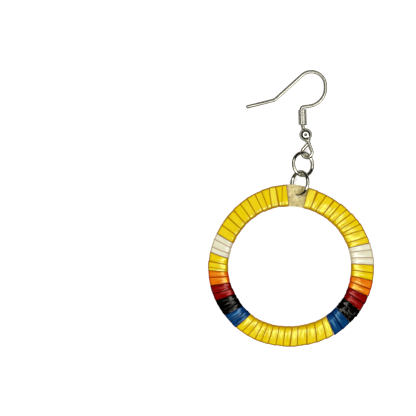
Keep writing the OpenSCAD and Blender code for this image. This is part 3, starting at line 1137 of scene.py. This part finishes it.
class EARRING_OT_bead(bpy.types.Operator):
    """Turns the drilled metal bead"""

    bl_idname = "earring.bead"
    bl_label = "Bead"

    # Thickness of the small collar at the lower bore
    collar = 0.36

    def execute(self, context):
        metal = context.scene.earring_metal
        radius = metal.bead_across / 2 / MM
        bore = metal.bead_bore / 2 / MM
        deselect()
        bpy.ops.mesh.primitive_uv_sphere_add(segments=64, ring_count=48, radius=radius)
        piece = new_piece("drilled_bead")
        edit(piece)
        bpy.ops.mesh.select_all(action="DESELECT")
        bpy.ops.object.mode_set(mode="OBJECT")
        for vertex in piece.data.vertices:
            vertex.select = hypot(vertex.co.x, vertex.co.y) < bore
        bpy.ops.object.mode_set(mode="EDIT")
        bpy.ops.mesh.delete(type="VERT")
        bpy.ops.mesh.select_non_manifold()
        bpy.ops.mesh.bridge_edge_loops()
        close_edit()
        bpy.ops.mesh.primitive_torus_add(
            major_segments=48, minor_segments=16, major_radius=bore + self.collar / 2,
            minor_radius=self.collar / 2, location=(0, 0, radius))
        piece.select_set(True)
        bpy.context.view_layer.objects.active = piece
        bpy.ops.object.join()
        round_edges(piece, 0.06, 40)
        turned = upright_to(on_heading(SHANK_HEADING))
        place_in_mesh(piece, hook_lay() @ Matrix.Translation(bead_place()) @ turned)
        smooth(piece, 40)
        plated = metal_material("bead_metal", metal.bright, dullness=0.06)
        finish_piece(piece, plated, "bead", ("glints", "sides"))
        return {"FINISHED"}


class EARRING_OT_jump_rings(bpy.types.Operator):
    """Bends a jump ring and copies it to the two linked places"""

    bl_idname = "earring.jump_rings"
    bl_label = "Jump Rings"

    def execute(self, context):
        metal = context.scene.earring_metal
        start = RING_SLIT / 2
        wire = Wire("jump_ring", RING_RADIUS * on_heading(start), on_heading(start + pi / 2),
                    metal.ring_wire / 2 / MM, sides=24)
        wire.bend((0, 0, 0), (0, 0, 1), 2 * pi - RING_SLIT, steps=120)
        ring = wire.done()
        plated = metal_material("ring_metal", metal.colour, dullness=0.08)
        for node, centre, lean, tilt, rise, slit in JUMP_RINGS:
            piece = copy_piece(ring, "closed_" + node)
            lay = Matrix.Translation((centre[0] - REST_MIDDLE[0], centre[1] - REST_MIDDLE[1], centre[2]))
            for angle, axis in ((-lean, "Z"), (rise, "X"), (-tilt, "Y"), (slit, "Z")):
                lay = lay @ Matrix.Rotation(radians(angle), 4, axis)
            place_in_mesh(piece, lay)
            smooth(piece, 60)
            finish_piece(piece, plated, node, ("wires", "sides"))
        bpy.data.objects.remove(ring)
        return {"FINISHED"}


class EARRING_OT_stage(bpy.types.Operator):
    """Sets out the pale table, the soft light and the camera"""

    bl_idname = "earring.stage"
    bl_label = "Stage"

    # How far the lights hang away, and each kind's count, slope from the upright, and size
    light_away = 0.75
    wide_ring = {"count": 8, "slope": radians(40), "size": 0.34}
    glint_ring = {"count": 12, "slope": radians(40), "size": 0.28}
    top_light = {"count": 1, "slope": 0, "size": 0.36}
    wire_ring = {"count": 16, "slope": radians(31), "size": 0.26, "shade": 0.75}
    side_light = {"count": 1, "slope": radians(58), "size": 0.45, "first": radians(-35)}
    near_ring = {"count": 12, "slope": radians(16), "size": 0.11}
    bright_side = radians(-45)

    # The room's faint light, and the table: its width, the tone that lights the pieces from below,
    # and its glow to the camera and in reflections
    room_light = 0.015
    table_width = 3
    table_shade = (0.25, 0.25, 0.24, 1)
    seen_glow = 0.7
    mirrored_glow = 0.18

    def execute(self, context):
        stage = context.scene.earring_stage
        if stage.show_floor:
            self.lay_table(stage, context.scene.earring_metal)
        self.light_ring("overhead", stage.ring_power, "dull", **self.wide_ring)
        self.light_ring("glint", stage.glint_power, "glints", **self.glint_ring)
        self.light_ring("top", stage.top_power, "glints", **self.top_light)
        self.light_ring("wire", stage.wire_power, "wires", **self.wire_ring)
        self.light_ring("side", stage.side_power, "sides", **self.side_light)
        self.light_ring("near", stage.near_power, "quills", **self.near_ring)
        world = context.scene.world or bpy.data.worlds.new("room")
        context.scene.world = world
        world.use_nodes = True
        room = world.node_tree.nodes["Background"].inputs
        room["Color"].default_value = (1, 1, 1, 1)
        room["Strength"].default_value = self.room_light
        context.scene.view_settings.view_transform = "Standard"
        self.set_camera(context)
        return {"FINISHED"}

    def lay_table(self, stage, metal):
        """Lays the table under the bead, which is drawn a little fuller than it was laid."""
        deselect()
        bpy.ops.mesh.primitive_plane_add(size=self.table_width)
        table = new_piece("pale_table")
        table.data.transform(Matrix.Translation((0, 0, (LAID_BEAD * MM - metal.bead_across) / 2)))
        material, n, shader = new_material("pale_table")
        path = n.add("LightPath").outputs
        seen, mirrored = path["Is Camera Ray"], path["Is Glossy Ray"]
        n.join(n.mix(seen, self.table_shade, with_alpha(stage.floor)), shader.inputs["Base Color"])
        shader.inputs["Roughness"].default_value = 0.8
        shader.inputs["Emission Color"].default_value = (1, 1, 1, 1)
        glow = n.maths("MULTIPLY", mirrored, self.mirrored_glow)
        glow = n.maths("ADD", n.maths("MULTIPLY", seen, self.seen_glow), glow)
        n.join(glow, shader.inputs["Emission Strength"])
        table.data.materials.append(material)
        light_set("dull").objects.link(table)

    def light_ring(self, name, power, lit, count, slope, size, first=radians(30), shade=0):
        """Hangs soft round lights in a ring about the upright for one set of pieces."""
        for k in range(count):
            turn = first + 2 * pi * k / count
            light = bpy.data.lights.new(f"{name}_{k + 1}", "AREA")
            light.shape = "DISK"
            light.size = size
            light.energy = power * (1 + shade * cos(turn - self.bright_side))
            lamp = bpy.data.objects.new(light.name, light)
            away = Vector((cos(turn) * sin(slope), sin(turn) * sin(slope), cos(slope)))
            lamp.location = away * self.light_away
            lamp.rotation_euler = away.to_track_quat("Z", "Y").to_euler()
            lamp.light_linking.receiver_collection = light_set(lit)
            bpy.context.scene.collection.objects.link(lamp)

    def set_camera(self, context):
        """Sets the camera straight above, framed as the photograph is."""
        camera = bpy.data.cameras.new("overhead_camera")
        camera.lens = CAMERA_LENS
        camera.sensor_width = SENSOR
        view = bpy.data.objects.new("overhead_camera", camera)
        width = PHOTO_WIDTH * PIXEL
        view.location = Vector((
            PHOTO_MIDDLE[0] - REST_MIDDLE[0],
            PHOTO_MIDDLE[1] - REST_MIDDLE[1],
            CAMERA_PLANE + width * CAMERA_LENS / SENSOR)) * MM
        context.scene.collection.objects.link(view)
        context.scene.camera = view


class EARRING_PT_panel(bpy.types.Panel):
    """Lists the earring's pieces in the sidebar"""

    bl_label = "Quill Hoop Earring"
    bl_space_type = "VIEW_3D"
    bl_region_type = "UI"
    bl_category = "Earring"

    def draw(self, context):
        for operator in OPERATORS:
            self.layout.operator(operator.bl_idname)
        for settings in ("earring_quills", "earring_metal", "earring_stage"):
            group = getattr(context.scene, settings)
            for name in group.__annotations__:
                self.layout.prop(group, name)


OPERATORS = (
    EARRING_OT_stage,
    EARRING_OT_rawhide_ring,
    EARRING_OT_quill_bands,
    EARRING_OT_ear_hook,
    EARRING_OT_coil,
    EARRING_OT_bead,
    EARRING_OT_jump_rings,
)
SETTINGS = (
    ("earring_quills", QuillSettings),
    ("earring_metal", MetalSettings),
    ("earring_stage", StageSettings),
)


def register():
    """Registers the settings, the operators and the panel."""
    for name, settings in SETTINGS:
        bpy.utils.register_class(settings)
        setattr(bpy.types.Scene, name, PointerProperty(type=settings))
    for operator in OPERATORS:
        bpy.utils.register_class(operator)
    bpy.utils.register_class(EARRING_PT_panel)


def unregister():
    """Takes back what register made."""
    bpy.utils.unregister_class(EARRING_PT_panel)
    for operator in reversed(OPERATORS):
        bpy.utils.unregister_class(operator)
    for name, settings in reversed(SETTINGS):
        delattr(bpy.types.Scene, name)
        bpy.utils.unregister_class(settings)


def main():
    register()
    bpy.ops.earring.stage()
    bpy.ops.earring.rawhide_ring()
    bpy.ops.earring.quill_bands()
    bpy.ops.earring.ear_hook()
    bpy.ops.earring.coil()
    bpy.ops.earring.bead()
    bpy.ops.earring.jump_rings()


if __name__ == "__main__":
    main()
